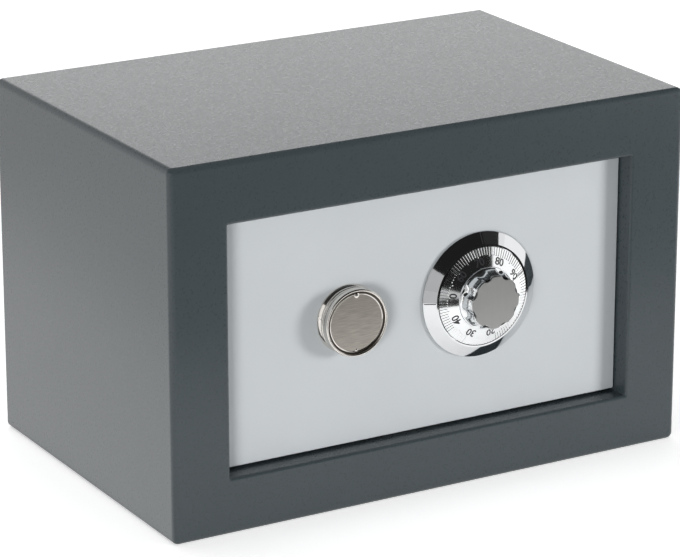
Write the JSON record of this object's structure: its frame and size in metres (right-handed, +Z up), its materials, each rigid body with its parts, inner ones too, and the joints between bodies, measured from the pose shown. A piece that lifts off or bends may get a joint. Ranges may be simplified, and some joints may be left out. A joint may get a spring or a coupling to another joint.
{
  "type": "combination safe",
  "caption": "Small steel safe with a recessed door, a chrome combination dial and a round covered key lock that throws locking bolts.",
  "frame": {"origin": "middle of the casing's base, on the surface that the safe stands on", "axes": "+X to the right as seen from the front, -Y out of the front, +Z up"},
  "size_m": [0.31, 0.207, 0.2],
  "materials": {
    "casing_paint": "textured powder coat, satin",
    "mat_felt": "needled felt",
    "door_paint": "textured powder coat, satin",
    "dial_chrome": "polished",
    "knob_satin": "turned and brushed",
    "cover_nickel": "satin nickel",
    "lock_zinc": "die-cast, matt",
    "lock_brass": "turned",
    "plated_steel": "zinc plated",
    "bright_steel": "turned bright",
    "screw_steel": "zinc plated",
    "washer_nylon": "black nylon"
  },
  "bodies": {
    "casing": {"casing_shell": "casing_paint", "back_panel": "casing_paint", "floor_mat": "mat_felt"},
    "door": {"door_plate": "door_paint", "hinge_blocks": "plated_steel", "hinge_pins": "bright_steel", "hinge_washers": "washer_nylon", "dial_ring": "dial_chrome", "ring_screws": "screw_steel", "lock_case": "lock_zinc", "lock_lid": "plated_steel", "case_screws": "screw_steel", "lid_screws": "screw_steel", "wheel_spacers": "lock_brass", "wheel_clip": "plated_steel", "key_escutcheon": "cover_nickel", "cover_rivet": "cover_nickel", "key_housing": "lock_brass", "housing_nut": "plated_steel", "bolt_bracket": "plated_steel", "guide_posts": "plated_steel", "guide_clips": "plated_steel", "inner_cover": "door_paint", "cover_posts": "plated_steel", "cover_screws": "screw_steel"},
    "dial": {"dial_disc": "dial_chrome", "dial_knob": "dial_chrome", "knob_face": "knob_satin", "spindle": "bright_steel", "drive_cam": "lock_brass", "cam_nut": "plated_steel"},
    "wheel_one": {"wheel_1": "lock_brass"},
    "wheel_two": {"wheel_2": "lock_brass"},
    "wheel_three": {"wheel_3": "lock_brass"},
    "boltwork": {"bolt_plate": "plated_steel", "upper_bolt": "bright_steel", "lower_bolt": "bright_steel", "fence": "plated_steel"},
    "key_lock": {"key_plug": "lock_brass", "key_crank": "plated_steel", "crank_screw": "screw_steel"},
    "key_flap": {"key_cover": "cover_nickel"}
  },
  "joints": [
    {"name": "door_hinge", "type": "hinge", "parent": "casing", "child": "door", "pos_m": [-0.105, -0.082, 0.1], "axis": [0, 0, -1], "range_deg": [0, 110]},
    {"name": "dial_turn", "type": "hinge", "parent": "door", "child": "dial", "pos_m": [0.033, -0.089, 0.1015], "axis": [0, 1, 0], "continuous": true},
    {"name": "wheel_one_turn", "type": "hinge", "parent": "door", "child": "wheel_one", "pos_m": [0.033, -0.0818, 0.1015], "axis": [0, 1, 0], "continuous": true},
    {"name": "wheel_two_turn", "type": "hinge", "parent": "door", "child": "wheel_two", "pos_m": [0.033, -0.0776, 0.1015], "axis": [0, 1, 0], "continuous": true},
    {"name": "wheel_three_turn", "type": "hinge", "parent": "door", "child": "wheel_three", "pos_m": [0.033, -0.0734, 0.1015], "axis": [0, 1, 0], "continuous": true},
    {"name": "key_turn", "type": "hinge", "parent": "door", "child": "key_lock", "pos_m": [-0.0465, -0.089, 0.1015], "axis": [0, 1, 0], "range_deg": [0, 90]},
    {"name": "bolt_slide", "type": "slide", "parent": "door", "child": "boltwork", "axis": [1, 0, 0], "range_m": [0, 0.014]},
    {"name": "key_cover_swing", "type": "hinge", "parent": "door", "child": "key_flap", "pos_m": [-0.0465, -0.097, 0.1164], "axis": [0, 1, 0], "continuous": true}
  ],
  "couplings": [
    {"joint": "wheel_one_turn", "follows": "dial_turn", "ratio": 1},
    {"joint": "wheel_two_turn", "follows": "dial_turn", "ratio": 1},
    {"joint": "wheel_three_turn", "follows": "dial_turn", "ratio": 1},
    {"joint": "key_turn", "follows": "bolt_slide", "rad_per_m": 112.2}
  ]
}
